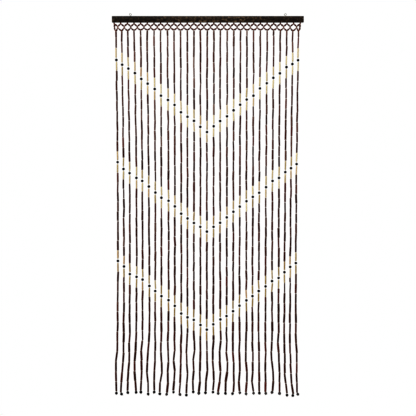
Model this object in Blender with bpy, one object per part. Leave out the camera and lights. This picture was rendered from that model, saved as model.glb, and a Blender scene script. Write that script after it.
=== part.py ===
"""Wooden bead door curtain on its rail.

A stained rail hangs by two screw eyes. Twenty-nine strands of cut wooden tubes hang from one
row of open diamonds under it. Their black beads step down to the middle in three chevrons.

Metres, +Z up, X along the rail, the front faces -Y. The origin lies midway between the two
eyes' rings, where the curtain hangs.
"""
import math
from typing import NamedTuple

import bmesh
import bpy
from mathutils import Matrix, Vector

MM = 0.001
GAP = 0.0003

# Rail
RAIL_LENGTH = 0.900
RAIL_DEPTH = 0.016
RAIL_HEIGHT = 0.029
RAIL_EDGE = 0.0012

# Screw eyes
EYE_X = 0.364
EYE_RISE = 0.0084
EYE_RING_RADIUS = 0.0046
EYE_WIRE_RADIUS = 0.0009
EYE_RING_STEPS = 16
EYE_WIRE_STEPS = 8
SHANK_RADIUS = 0.0012
SHANK_DEPTH = 0.012

RAIL_TOP = -EYE_RISE
RAIL_FOOT = RAIL_TOP - RAIL_HEIGHT

# Row of diamonds under the rail, each height measured down from the rail's top
STRANDS = 29
HOLE_PITCH = 0.03125
FIRST_HOLE = 0.0095
HOLE_HALF = 0.0013
HOLE_DEPTH = 0.008
APEX_DROP = 0.0345
CROSS_DROP = 0.0510
FORK_DROP = 0.0650
END_SAG = (0.0035, 0.0025, 0.0010)
END_PULL = (0.0085, 0.0040, 0.0018)
HUB = 0.0032
HUB_NECK = 0.0018
NET_HALF = 0.0024
STRING_HALF = 0.0010

# Strands
TUBE_HALF = 0.0033
TUBE_TOP = 0.0702
BEAD_RADIUS = 0.00625
BEAD_FLAT = 0.0050
BEAD_SHOULDER = 0.0030
BEAD_SPACE = 0.0050
END_SPACE = 0.0012
PINCH = 0.0030

# Depth of each black bead under the rail's top on the end strand, and its step per strand
FIRST_BEAD = (0.2000, 0.02425)
SECOND_BEAD = (0.6860, 0.02330)
THIRD_BEAD = (1.1540, 0.02290)
END_BEAD = 1.7710

# Dark tubes of each run: the end strand's top and foot, and the step to the next strand inwards
DARK_TOP = 1.5
DARK_BETWEEN = 8.0
DARK_FOOT = 12.0
DARK_STEP = 0.5
TUBES_PER_RING = 3.4

# A pale tube's length as a share of a dark one's
PALE_SHARE = 0.87


class Hang(NamedTuple):
    """How one strand hangs, in millimetres.

    first, second, third and hem tell how much lower than the rule its black beads lie.
    belly tells how much further right than the rule it hangs midway. j6 to j0 and bead tell
    how far to the right of its hole it hangs, at the sixth joint above its last tube's foot,
    at each joint below, at that foot and at its end bead.
    """

    first: int
    second: int
    third: int
    hem: int
    belly: int
    j6: int
    j5: int
    j4: int
    j3: int
    j2: int
    j1: int
    j0: int
    bead: int


# One row for each strand, from the left
HANGS = (
    Hang(5, -1, -5, -1, 1, 16, 16, 15, 10, 9, 11, 10, 11),
    Hang(3, 8, -2, 3, 0, 14, 13, 13, 11, 7, 3, 1, 4),
    Hang(-3, 4, 11, -4, 0, 11, 9, 9, 8, 4, 2, 0, 2),
    Hang(-6, 3, 1, -5, 2, 10, 9, 7, 3, 3, 6, 9, 10),
    Hang(-3, -6, -9, -6, -1, 9, 9, 3, 4, 5, 3, 0, 1),
    Hang(-5, -3, -2, 3, -3, 11, 7, 4, -1, -3, 4, 4, 4),
    Hang(-4, 2, -1, -6, 1, 5, 6, 5, 4, 2, 1, 1, 1),
    Hang(3, 3, 0, 2, 0, 3, 2, 1, 5, 6, -3, -4, -4),
    Hang(-1, -6, -4, 4, 1, 5, 3, 4, 6, 2, 4, -2, -3),
    Hang(-2, -3, 0, -6, 1, 3, 3, 3, -2, 4, 2, -2, -2),
    Hang(8, 8, 13, 5, 0, 3, 2, 2, 1, -1, -2, -5, -3),
    Hang(5, 7, 8, 8, 0, 1, -1, -3, -1, 1, -2, -4, -4),
    Hang(0, 5, -3, -7, 1, -1, 2, 3, -3, -1, -5, -4, -3),
    Hang(4, 0, -2, -1, -1, 0, -2, 0, -2, -3, -3, -8, -8),
    Hang(4, -1, -3, -3, 0, -2, -2, -2, -1, 0, -6, -7, -8),
    Hang(1, 0, -5, -6, 1, -3, -1, -4, -5, -2, -1, -4, -4),
    Hang(1, 4, -5, 0, -2, 0, 1, -4, -4, -1, -3, -10, -11),
    Hang(3, 2, 2, 0, 1, -3, -2, -5, 1, 0, -7, -7, -8),
    Hang(-1, -1, 2, 1, 1, -4, -5, -4, -1, -1, 1, -2, -6),
    Hang(-3, -2, -1, -3, 1, -5, -4, -6, -4, -3, -7, -4, -3),
    Hang(-3, -4, -3, 2, -1, -3, -5, -6, -6, -1, -2, -5, -5),
    Hang(3, -1, 0, -1, 1, -7, -6, -4, -5, -6, -8, -2, -1),
    Hang(-7, 3, -1, -1, 1, -9, -9, -7, -6, -7, -6, -5, -5),
    Hang(-7, 0, 0, 0, 1, -8, -8, -7, -8, -8, -7, -7, -6),
    Hang(-8, -6, -2, -5, 0, -8, -9, -11, -9, -3, -3, -6, -8),
    Hang(-5, 3, 6, 0, -1, -8, -11, -7, -7, -4, -4, -4, -4),
    Hang(-10, -1, 2, 8, 2, -14, -12, -11, -11, -11, -5, 0, 0),
    Hang(0, 4, 0, 10, 1, -18, -17, -16, -14, -13, -9, -2, -4),
    Hang(6, 8, 5, 4, -1, -21, -21, -17, -17, -17, -16, -16, -12),
)

# Colour, metallic and roughness of each sub-part
FINISHES = {
    "stained_rail": ((0.012, 0.009, 0.008, 1.0), 0.0, 0.55),
    "eye_steel": ((0.52, 0.52, 0.46, 1.0), 1.0, 0.35),
    "dark_tubes": ((0.045, 0.012, 0.009, 1.0), 0.0, 0.40),
}


def clear_scene():
    """Remove the objects that the scene starts with."""
    for obj in list(bpy.data.objects):
        bpy.data.objects.remove(obj)


def finish(name):
    """Make the Principled material of one sub-part."""
    colour, metallic, roughness = FINISHES[name]
    material = bpy.data.materials.new(name)
    material.use_nodes = True
    shader = material.node_tree.nodes["Principled BSDF"]
    shader.inputs["Base Color"].default_value = colour
    shader.inputs["Metallic"].default_value = metallic
    shader.inputs["Roughness"].default_value = roughness
    return material


def add_object(name, mesh, material):
    """Link a mesh to the scene as a named object with its material."""
    obj = bpy.data.objects.new(name, mesh)
    mesh.materials.append(material)
    bpy.context.scene.collection.objects.link(obj)
    return obj


def mesh_from(bm, name):
    """Turn a bmesh into a mesh with its faces pointing out."""
    bmesh.ops.recalc_face_normals(bm, faces=bm.faces[:])
    mesh = bpy.data.meshes.new(name)
    bm.to_mesh(mesh)
    bm.free()
    return mesh


def add_block(bm, low, high):
    """Add a closed block between two corners."""
    size = Vector(high) - Vector(low)
    centre = (Vector(high) + Vector(low)) / 2.0
    place = Matrix.Translation(centre) @ Matrix.Diagonal((*size, 1.0))
    bmesh.ops.create_cube(bm, size=1.0, matrix=place)


def add_pin(bm, x, foot, top, radius, steps):
    """Add a closed upright pin at x on the rail's middle plane."""
    place = Matrix.Translation((x, 0.0, (foot + top) / 2.0))
    bmesh.ops.create_cone(
        bm, cap_ends=True, segments=steps, radius1=radius, radius2=radius,
        depth=top - foot, matrix=place)


def boolean(obj, cutter, operation):
    """Join or cut obj with a hidden second object."""
    cutter.hide_render = True
    cutter.display_type = "WIRE"
    step = obj.modifiers.new(cutter.name, "BOOLEAN")
    step.operation = operation
    step.object = cutter


# Places on the rail

def hole_x(index):
    """Return where the hole of a strand lies along the rail, the first being 0."""
    return -RAIL_LENGTH / 2.0 + FIRST_HOLE + HOLE_PITCH * index


def from_end(index):
    """Return how many strands stand between this one and the nearer end."""
    return min(index, STRANDS - 1 - index)


def end_value(values, index):
    """Return the value of a strand near an end, or zero further in."""
    near = from_end(index)
    return values[near] if near < len(values) else 0.0


def inward(index):
    """Return 1 on the left half and -1 on the right half."""
    return 1.0 if index < STRANDS / 2 else -1.0


def fork(index):
    """Return the x and z of the fork that a strand hangs from."""
    x = hole_x(index) + inward(index) * end_value(END_PULL, index)
    return x, RAIL_TOP - FORK_DROP - end_value(END_SAG, index)


# Rail and eyes

def build_rail(material):
    """Build the bevelled rail with its eye holes and string holes."""
    bm = bmesh.new()
    half_length, half_depth = RAIL_LENGTH / 2.0, RAIL_DEPTH / 2.0
    add_block(bm, (-half_length, -half_depth, RAIL_FOOT), (half_length, half_depth, RAIL_TOP))
    rail = add_object("rail", mesh_from(bm, "rail"), material)
    bevel = rail.modifiers.new("worn_edges", "BEVEL")
    bevel.width = RAIL_EDGE
    bevel.segments = 1

    bm = bmesh.new()
    for side in (-1.0, 1.0):
        foot = RAIL_TOP - SHANK_DEPTH - GAP
        add_pin(bm, side * EYE_X, foot, RAIL_TOP + SHANK_DEPTH, SHANK_RADIUS + GAP, EYE_WIRE_STEPS)
    for index in range(STRANDS):
        x = hole_x(index)
        low = (x - HOLE_HALF, -HOLE_HALF, RAIL_FOOT - HOLE_DEPTH)
        high = (x + HOLE_HALF, HOLE_HALF, RAIL_FOOT + HOLE_DEPTH)
        add_block(bm, low, high)
    holes = add_object("rail_holes", mesh_from(bm, "rail_holes"), material)
    boolean(rail, holes, "DIFFERENCE")


def build_eye(name, side, material):
    """Build one screw eye, its ring's hole facing the front."""
    bm = bmesh.new()
    rings = []
    for turn in range(EYE_RING_STEPS):
        around = math.tau * turn / EYE_RING_STEPS
        outwards = Vector((math.sin(around), 0.0, math.cos(around)))
        ring = []
        for step in range(EYE_WIRE_STEPS):
            angle = math.tau * step / EYE_WIRE_STEPS
            radius = EYE_RING_RADIUS + EYE_WIRE_RADIUS * math.cos(angle)
            point = outwards * radius + Vector((0.0, EYE_WIRE_RADIUS * math.sin(angle), 0.0))
            ring.append(bm.verts.new(point + Vector((side * EYE_X, 0.0, 0.0))))
        rings.append(ring)
    for turn in range(EYE_RING_STEPS):
        bridge(bm, rings[turn], rings[(turn + 1) % EYE_RING_STEPS])
    eye = add_object(name, mesh_from(bm, name), material)

    bm = bmesh.new()
    top = -EYE_RING_RADIUS + EYE_WIRE_RADIUS / 2.0
    add_pin(bm, side * EYE_X, RAIL_TOP - SHANK_DEPTH, top, SHANK_RADIUS, EYE_WIRE_STEPS)
    shank = add_object(name + "_shank", mesh_from(bm, name + "_shank"), material)
    boolean(eye, shank, "UNION")
    eye.data.shade_smooth()


# Net of diamonds and strands

def bridge(bm, ring, other):
    """Join two rings of equal length with a band of faces."""
    count = len(ring)
    for step in range(count):
        after = (step + 1) % count
        bm.faces.new((ring[step], ring[after], other[after], other[step]))


class Hub:
    """A flat knot of the net, with a front and a back point at each named corner."""

    def __init__(self, bm, x, z, corners):
        """Place the corners, given as name: (x, z) from the hub's centre, in turning order."""
        self.bm = bm
        self.names = list(corners)
        self.pairs = {}
        for name, (dx, dz) in corners.items():
            front = bm.verts.new((x + dx, -NET_HALF, z + dz))
            back = bm.verts.new((x + dx, NET_HALF, z + dz))
            self.pairs[name] = (front, back)
        bm.faces.new([self.pairs[name][0] for name in self.names])
        bm.faces.new([self.pairs[name][1] for name in reversed(self.names)])

    def wall(self, corner, other, other_corner):
        """Close the net's edge between a corner here and one of another hub."""
        front, back = self.pairs[corner]
        other_front, other_back = other.pairs[other_corner]
        self.bm.faces.new((front, back, other_back, other_front))

    def bar(self, first, second, other, other_first, other_second):
        """Lay a bar from this hub's edge to an edge of another hub."""
        for side in (0, 1):
            self.bm.faces.new((
                self.pairs[first][side], self.pairs[second][side],
                other.pairs[other_second][side], other.pairs[other_first][side]))
        self.wall(first, other, other_first)
        self.wall(second, other, other_second)

    def ring(self, left, right):
        """Return the four points of the edge that a string leaves by."""
        return [self.pairs[left][0], self.pairs[right][0],
                self.pairs[right][1], self.pairs[left][1]]


def square_ring(bm, x, z, half, depth=None):
    """Add the four corners of a level ring, in the order of Hub.ring."""
    depth = half if depth is None else depth
    corners = ((-half, -depth), (half, -depth), (half, depth), (-half, depth))
    return [bm.verts.new((x + dx, dy, z)) for dx, dy in corners]


def add_apex(bm, index):
    """Add the hub under a rail hole, with its bead and its string up the hole."""
    x = hole_x(index)
    hub = Hub(bm, x, RAIL_TOP - APEX_DROP, {
        "top_left": (-HUB_NECK, HUB_NECK), "top_right": (HUB_NECK, HUB_NECK),
        "right": (HUB, 0.0), "bottom": (0.0, -HUB), "left": (-HUB, 0.0)})
    hub.wall("top_right", hub, "right")
    hub.wall("left", hub, "top_left")
    lower = hub.ring("top_left", "top_right")
    shoulder = square_ring(bm, x, RAIL_FOOT - GAP, HUB_NECK, NET_HALF)
    step = square_ring(bm, x, RAIL_FOOT - GAP, STRING_HALF)
    end = square_ring(bm, x, RAIL_FOOT + HOLE_DEPTH - GAP, STRING_HALF)
    bridge(bm, lower, shoulder)
    bridge(bm, shoulder, step)
    bridge(bm, step, end)
    bm.faces.new(end)
    return hub


def add_cross(bm, index):
    """Add the hub where the strings of two neighbouring holes cross."""
    x = (hole_x(index) + hole_x(index + 1)) / 2.0
    return Hub(bm, x, RAIL_TOP - CROSS_DROP, {
        "top": (0.0, HUB), "right": (HUB, 0.0), "bottom": (0.0, -HUB), "left": (-HUB, 0.0)})


def add_fork(bm, index):
    """Add the hub that a strand hangs from."""
    x, z = fork(index)
    hub = Hub(bm, x, z, {
        "top": (0.0, HUB), "right": (HUB, 0.0), "bottom_right": (STRING_HALF, -HUB_NECK),
        "bottom_left": (-STRING_HALF, -HUB_NECK), "left": (-HUB, 0.0)})
    hub.wall("right", hub, "bottom_right")
    hub.wall("bottom_left", hub, "left")
    return hub


def add_diamonds(bm):
    """Lay the row of diamonds and return the forks below it."""
    apexes = [add_apex(bm, index) for index in range(STRANDS)]
    crosses = [add_cross(bm, index) for index in range(STRANDS - 1)]
    forks = [add_fork(bm, index) for index in range(STRANDS)]
    for index, cross in enumerate(crosses):
        apexes[index].bar("right", "bottom", cross, "top", "left")
        apexes[index + 1].bar("bottom", "left", cross, "right", "top")
        cross.bar("left", "bottom", forks[index], "top", "right")
        cross.bar("right", "bottom", forks[index + 1], "top", "left")
    apexes[0].bar("bottom", "left", forks[0], "top", "left")
    apexes[-1].bar("right", "bottom", forks[-1], "right", "top")
    return forks


class Strand:
    """The places of one strand's beads and joints."""

    def __init__(self, index):
        """Work out the strand's depths and its sway from the rules and its row."""
        self.index = index
        self.row = HANGS[index]
        near = from_end(index)
        rules = (FIRST_BEAD, SECOND_BEAD, THIRD_BEAD)
        shifts = (self.row.first, self.row.second, self.row.third)
        self.beads = [start + step * near + shift * MM
                      for (start, step), shift in zip(rules, shifts)]
        self.end_bead = END_BEAD + self.row.hem * MM
        self.tubes_above = DARK_TOP + DARK_STEP * near + PALE_SHARE
        self.tubes_between = DARK_BETWEEN + 2.0 * PALE_SHARE
        self.tubes_below = DARK_FOOT - DARK_STEP * near + PALE_SHARE
        self.knees = (self.row.j6, self.row.j5, self.row.j4, self.row.j3,
                      self.row.j2, self.row.j1, self.row.j0)
        self.foot = self.end_bead - BEAD_RADIUS - END_SPACE
        self.below = self.beads[2] + BEAD_RADIUS + BEAD_SPACE
        self.pitch_below = (self.foot - self.below) / self.tubes_below
        self.knee = self.foot - (len(self.knees) - 1) * self.pitch_below

    def offset(self, depth):
        """Return how far right of its hole the strand hangs at a depth under the rail's top."""
        row = self.row
        if depth >= self.foot:
            part = (depth - self.foot) / (self.end_bead - self.foot)
            return (row.j0 + (row.bead - row.j0) * min(part, 1.0)) * MM
        if depth >= self.knee:
            joints = (depth - self.knee) / self.pitch_below
            joint = min(int(joints), len(self.knees) - 2)
            upper, lower = self.knees[joint:joint + 2]
            return (upper + (lower - upper) * (joints - joint)) * MM
        part = (depth - TUBE_TOP) / (self.knee - TUBE_TOP)
        head = inward(self.index) * end_value(END_PULL, self.index)
        lean = (row.j6 * MM - head) * math.sin(part * math.pi / 2.0)
        bulge = max(0.0, math.sin(part * math.pi))
        pinch = PINCH * min(0.0, hole_x(self.index) / (RAIL_LENGTH / 2.0))
        return head + lean - pinch * bulge + row.belly * MM * math.sqrt(bulge)

    def ring(self, bm, depth, half):
        """Add a ring around the strand at a depth under the rail's top."""
        x = hole_x(self.index) + self.offset(depth)
        return square_ring(bm, x, RAIL_TOP - depth, half)

    def runs(self):
        """Return the top, foot and ring count of each run of tubes, from the rail down."""
        stops = [TUBE_TOP]
        for bead in self.beads:
            stops += [bead - BEAD_RADIUS - BEAD_SPACE, bead + BEAD_RADIUS + BEAD_SPACE]
        stops.append(self.foot)
        tubes = (self.tubes_above, self.tubes_between, self.tubes_between)
        steps = [max(1, round(count / TUBES_PER_RING)) for count in tubes]
        steps.append(int(self.tubes_below))
        return list(zip(stops[0::2], stops[1::2], steps))


def add_strand(bm, strand, hub):
    """Hang one strand from its fork, as one run of rings down to the end bead."""
    last = hub.ring("bottom_left", "bottom_right")
    centres = strand.beads + [strand.end_bead]
    for number, (top, foot, steps) in enumerate(strand.runs()):
        if number < len(strand.beads):
            depths = [top + (foot - top) * step / steps for step in range(steps + 1)]
        else:
            joints = range(steps, -1, -1)
            depths = [foot - joint * strand.pitch_below for joint in joints]
            if depths[0] - top > TUBE_HALF:
                depths.insert(0, top)
        for depth in depths:
            after = strand.ring(bm, depth, TUBE_HALF)
            bridge(bm, last, after)
            last = after
        centre = centres[number]
        bead = [(centre - BEAD_RADIUS, STRING_HALF), (centre - BEAD_SHOULDER, BEAD_FLAT),
                (centre + BEAD_SHOULDER, BEAD_FLAT), (centre + BEAD_RADIUS, STRING_HALF)]
        for depth, half in bead:
            after = strand.ring(bm, depth, half)
            bridge(bm, last, after)
            last = after
    bm.faces.new(last)


def build_net(material):
    """Build the diamonds with the strands fused to them."""
    bm = bmesh.new()
    for index, hub in enumerate(add_diamonds(bm)):
        add_strand(bm, Strand(index), hub)
    add_object("bead_net", mesh_from(bm, "bead_net"), material)


def main():
    """Build every sub-part."""
    clear_scene()
    build_rail(finish("stained_rail"))
    steel = finish("eye_steel")
    build_eye("eye_left", -1.0, steel)
    build_eye("eye_right", 1.0, steel)
    build_net(finish("dark_tubes"))


main()
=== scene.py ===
"""Looks of a wooden bead door curtain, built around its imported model.

A stained rail hangs by two screw eyes. Its cords cross in one row of diamonds, strung with short
tubes and small beads, and run on as twenty-nine strands of dark tubes. Pale tubes hold the black
beads of three chevrons, and every strand ends in a black bead over a knot.

Metres, +Z up, X along the rail, the front faces -Y. Depths are measured down from the rail's top.
"""
import logging
import math
import random
from dataclasses import dataclass, field
from enum import Enum
from typing import Any, Iterator, NamedTuple, Sequence

import bmesh
import bpy
from mathutils import Matrix, Vector, noise


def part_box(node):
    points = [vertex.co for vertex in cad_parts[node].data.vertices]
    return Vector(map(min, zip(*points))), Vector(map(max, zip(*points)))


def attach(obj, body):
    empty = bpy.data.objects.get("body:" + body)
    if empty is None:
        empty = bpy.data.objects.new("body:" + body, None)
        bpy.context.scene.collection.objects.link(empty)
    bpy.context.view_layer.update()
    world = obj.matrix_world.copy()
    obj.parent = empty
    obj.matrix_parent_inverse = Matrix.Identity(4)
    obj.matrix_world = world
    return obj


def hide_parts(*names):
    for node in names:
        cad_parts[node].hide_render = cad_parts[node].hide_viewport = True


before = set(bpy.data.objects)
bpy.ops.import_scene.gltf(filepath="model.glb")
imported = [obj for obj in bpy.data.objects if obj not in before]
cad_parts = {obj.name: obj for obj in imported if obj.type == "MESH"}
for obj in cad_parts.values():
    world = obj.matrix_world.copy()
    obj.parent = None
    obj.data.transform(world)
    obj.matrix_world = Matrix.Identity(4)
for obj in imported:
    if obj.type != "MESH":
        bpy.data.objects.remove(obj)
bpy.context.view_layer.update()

log = logging.getLogger("door_curtain")

BODY = "root"
NET_NODE = "bead_net"
MM = 0.001
SEED = 29

Triple = tuple[float, float, float]
Colour = Triple
Range = tuple[float, float]
Mesh = bpy.types.Mesh
Object = bpy.types.Object
Material = bpy.types.Material
Node = bpy.types.Node
Socket = bpy.types.NodeSocket


def display(red: int, green: int, blue: int) -> Colour:
    """Turn a colour as a screen shows it into the linear one that materials take.

    Args:
        red: Red from 0 to 255.
        green: Green from 0 to 255.
        blue: Blue from 0 to 255.

    Returns:
        The linear red, green and blue.
    """
    parts = [value / 255.0 for value in (red, green, blue)]
    linear = [part / 12.92 if part <= 0.04045 else ((part + 0.055) / 1.055) ** 2.4 for part in parts]
    return linear[0], linear[1], linear[2]


# Node trees

class Bench:
    """Adds the nodes of one tree and links them."""

    def __init__(self, tree: bpy.types.NodeTree) -> None:
        """Keep the tree to work on."""
        self.tree = tree

    @staticmethod
    def socket(sockets: Any, key: str | int) -> Socket:
        """Find a socket of a node.

        Args:
            sockets: The node's inputs or outputs.
            key: The socket's place, or its name among those in use.

        Returns:
            The socket.
        """
        if isinstance(key, int):
            return sockets[key]
        return next(item for item in sockets if item.name == key and item.enabled)

    def node(self, kind: str, settings: dict[str, Any] | None = None,
             sockets: dict[str | int, Any] | None = None) -> Node:
        """Add one node.

        Args:
            kind: The node's type.
            settings: Its properties, set first. The entry "stops" fills a colour ramp.
            sockets: The value or link of each input, by name or place.

        Returns:
            The new node.
        """
        node = self.tree.nodes.new(kind)
        for name, setting in (settings or {}).items():
            if name == "stops":
                self.fill_ramp(node.color_ramp, setting)
            else:
                setattr(node, name, setting)
        self.feed(node, sockets or {})
        return node

    def feed(self, node: Node, sockets: dict[str | int, Any]) -> None:
        """Fill the inputs of a node.

        Args:
            node: The node.
            sockets: The value or link of each input, by name or place.
        """
        for key, given in sockets.items():
            entry = self.socket(node.inputs, key)
            given = given.socket if isinstance(given, Value) else given
            if isinstance(given, Socket):
                self.tree.links.new(given, entry)
            else:
                entry.default_value = (*given, 1.0) if entry.type == "RGBA" else given

    @staticmethod
    def fill_ramp(ramp: bpy.types.ColorRamp, stops: Sequence[tuple[float, Colour]]) -> None:
        """Give a colour ramp its stops.

        Args:
            ramp: The ramp.
            stops: The place and colour of each stop.
        """
        while len(ramp.elements) < len(stops):
            ramp.elements.new(1.0)
        for element, (place, colour) in zip(ramp.elements, stops):
            element.position = place
            element.color = (*colour, 1.0)

    def result(self, node: Node, name: str) -> Socket:
        """Return a node's output by its name."""
        return self.socket(node.outputs, name)


@dataclass(frozen=True, eq=False)
class Value:
    """A number's socket. Each operator on it adds its Math node."""

    bench: Bench
    socket: Socket

    def math(self, operation: str, *terms: "Value | float") -> "Value":
        """Add the Math node of an operation on some terms."""
        node = self.bench.node("ShaderNodeMath", {"operation": operation}, dict(enumerate(terms)))
        return Value(self.bench, node.outputs[0])

    def __add__(self, other: "Value | float") -> "Value":
        """Add."""
        return self.math("ADD", self, other)

    def __radd__(self, other: float) -> "Value":
        """Add to a plain number."""
        return self.math("ADD", other, self)

    def __sub__(self, other: "Value | float") -> "Value":
        """Take away."""
        return self.math("SUBTRACT", self, other)

    def __rsub__(self, other: float) -> "Value":
        """Take from a plain number."""
        return self.math("SUBTRACT", other, self)

    def __mul__(self, other: "Value | float") -> "Value":
        """Multiply."""
        return self.math("MULTIPLY", self, other)

    def __rmul__(self, other: float) -> "Value":
        """Multiply a plain number."""
        return self.math("MULTIPLY", other, self)

    def between(self, low: float, high: float) -> "Value":
        """Add a smooth step, which falls where high is the lesser.

        Args:
            low: The number up to which it is 0.
            high: The number from which on it is 1.

        Returns:
            The step.
        """
        node = self.bench.node(
            "ShaderNodeMapRange", {"interpolation_type": "SMOOTHSTEP"},
            {"Value": self, "From Min": low, "From Max": high})
        return Value(self.bench, node.outputs[0])


class Paint(Bench):
    """One material with a Principled shader, and the ways of painting it."""

    tone_steps: Triple = (91.0, 57.0, 23.0)

    def __init__(self, name: str, constants: dict[str, float]) -> None:
        """Make the material.

        Args:
            name: The material's name.
            constants: What is the same all over, by the shader's socket name.
        """
        self.material = bpy.data.materials.new(name)
        self.material.use_nodes = True
        super().__init__(self.material.node_tree)
        self.tree.nodes.clear()
        self.shader = self.node("ShaderNodeBsdfPrincipled", sockets=dict(constants))
        self.node("ShaderNodeOutputMaterial", sockets={"Surface": self.shader.outputs["BSDF"]})
        self.place = self.result(self.node("ShaderNodeTexCoord"), "Object")

    def attribute(self, name: str) -> Value:
        """Read a number that the mesh carries."""
        node = self.node("ShaderNodeAttribute", {"attribute_name": name})
        return Value(self, self.result(node, "Fac"))

    def grain(self, size: Triple, detail: float, shift: Value | None = None) -> Value:
        """Paint a cloudy pattern, drawn out along the axes.

        Args:
            size: The pattern's size along X, Y and Z in metres.
            detail: How many finer layers it has.
            shift: A number that moves the pattern, so that each piece has its own.

        Returns:
            The pattern, near 0.5 on the whole.
        """
        place = self.node("ShaderNodeMapping", sockets={
            "Vector": self.place, "Scale": [1.0 / part for part in size]})
        where = self.result(place, "Vector")
        if shift is not None:
            apart = self.node("ShaderNodeCombineXYZ", sockets={
                axis: shift * step for axis, step in zip("XYZ", self.tone_steps)})
            where = self.result(self.node("ShaderNodeVectorMath", {"operation": "ADD"}, {
                0: where, 1: apart.outputs[0]}), "Vector")
        node = self.node("ShaderNodeTexNoise", sockets={
            "Vector": where, "Scale": 1.0, "Detail": detail})
        return Value(self, node.outputs[0])

    def ramp(self, level: Value, stops: Sequence[tuple[float, Colour]]) -> Socket:
        """Turn a number into a colour."""
        node = self.node("ShaderNodeValToRGB", {"stops": stops}, {"Fac": level})
        return self.result(node, "Color")

    def blend(self, share: Value, first: Any, second: Any) -> Socket:
        """Mix a share of the second colour into the first."""
        node = self.node("ShaderNodeMix", {"data_type": "RGBA", "clamp_factor": True}, {
            "Factor": share, "A": first, "B": second})
        return self.result(node, "Result")

    def relief(self, height: Value, depth: float) -> Socket:
        """Raise the surface by a pattern, up to a depth in metres."""
        node = self.node("ShaderNodeBump", sockets={
            "Strength": 1.0, "Distance": depth, "Height": height})
        return self.result(node, "Normal")


class Tree(Bench):
    """A Geometry Nodes tree with named inputs, which is turned into plain meshes."""

    def __init__(self, name: str, inputs: dict[str, str]) -> None:
        """Open the tree.

        Args:
            name: The tree's name.
            inputs: The socket type of each input after the geometry.
        """
        super().__init__(bpy.data.node_groups.new(name, "GeometryNodeTree"))
        face = self.tree.interface
        face.new_socket("Geometry", in_out="INPUT", socket_type="NodeSocketGeometry")
        for label, kind in inputs.items():
            face.new_socket(label, in_out="INPUT", socket_type=kind)
        face.new_socket("Geometry", in_out="OUTPUT", socket_type="NodeSocketGeometry")
        self.entry = self.node("NodeGroupInput").outputs

    def carried(self, name: str, kind: str) -> Socket:
        """Read what the geometry carries under a name."""
        node = self.node("GeometryNodeInputNamedAttribute", {"data_type": kind}, {"Name": name})
        return self.result(node, "Attribute")

    def close(self, geometry: Socket) -> None:
        """End the tree in real faces with the piece's material.

        Args:
            geometry: The last node's geometry.
        """
        real = self.node("GeometryNodeRealizeInstances", sockets={"Geometry": geometry})
        dressed = self.node("GeometryNodeSetMaterial", sockets={
            "Geometry": real.outputs[0], "Material": self.entry["Material"]})
        self.node("NodeGroupOutput", sockets={"Geometry": dressed.outputs[0]})

    def run(self, name: str, mesh: Mesh, given: dict[str, Any],
            kept: Sequence[str] = ()) -> Object:
        """Run the tree on a mesh.

        Args:
            name: The piece's name.
            mesh: The mesh that the tree starts from.
            given: A value for each named input.
            kept: The attributes that the material reads.

        Returns:
            An object with the plain mesh.
        """
        obj = linked(name, mesh)
        step = obj.modifiers.new(self.tree.name, "NODES")
        step.node_group = self.tree
        for item in self.tree.interface.items_tree:
            if item.in_out == "INPUT" and item.name in given:
                step[item.identifier] = given[item.name]
        return plain(obj, kept)


# Mesh helpers

def linked(name: str, mesh: Mesh) -> Object:
    """Put a mesh into the scene.

    Args:
        name: The object's name.
        mesh: The mesh.

    Returns:
        The new object.
    """
    obj = bpy.data.objects.new(name, mesh)
    bpy.context.scene.collection.objects.link(obj)
    return obj


def plain(obj: Object, kept: Sequence[str] = ()) -> Object:
    """Turn an object's modifiers into its mesh.

    Args:
        obj: The object.
        kept: The attributes that the mesh keeps beside its own.

    Returns:
        The same object.
    """
    bpy.context.view_layer.update()
    graph = bpy.context.evaluated_depsgraph_get()
    mesh = bpy.data.meshes.new_from_object(
        obj.evaluated_get(graph), preserve_all_data_layers=True, depsgraph=graph)
    obj.modifiers.clear()
    mesh.name = obj.name
    obj.data = mesh
    own = {"position", "material_index", "sharp_edge", "sharp_face"}
    for name in [item.name for item in mesh.attributes]:
        if name not in own and name not in kept and not name.startswith("."):
            mesh.attributes.remove(mesh.attributes[name])
    return obj


def closed_mesh(bm: bmesh.types.BMesh, name: str) -> Mesh:
    """Turn a bmesh into a mesh with its faces pointing outwards.

    Args:
        bm: The bmesh, which is freed.
        name: The mesh's name.

    Returns:
        The mesh.
    """
    bmesh.ops.recalc_face_normals(bm, faces=bm.faces[:])
    mesh = bpy.data.meshes.new(name)
    bm.to_mesh(mesh)
    bm.free()
    return mesh


def soften(obj: Object, sharp_from: float) -> None:
    """Shade an object smooth, but for the edges that turn by more than some degrees."""
    obj.data.shade_smooth()
    obj.data.set_sharp_from_angle(angle=math.radians(sharp_from))


def bridge(bm: bmesh.types.BMesh, ring: Sequence[Any], other: Sequence[Any]) -> None:
    """Join two rings of equal length with a band of faces.

    Args:
        bm: The bmesh that they are in.
        ring: The points of the first ring.
        other: The points of the second.
    """
    for step, corner in enumerate(ring):
        after = (step + 1) % len(ring)
        bm.faces.new((corner, ring[after], other[after], other[step]))


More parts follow.
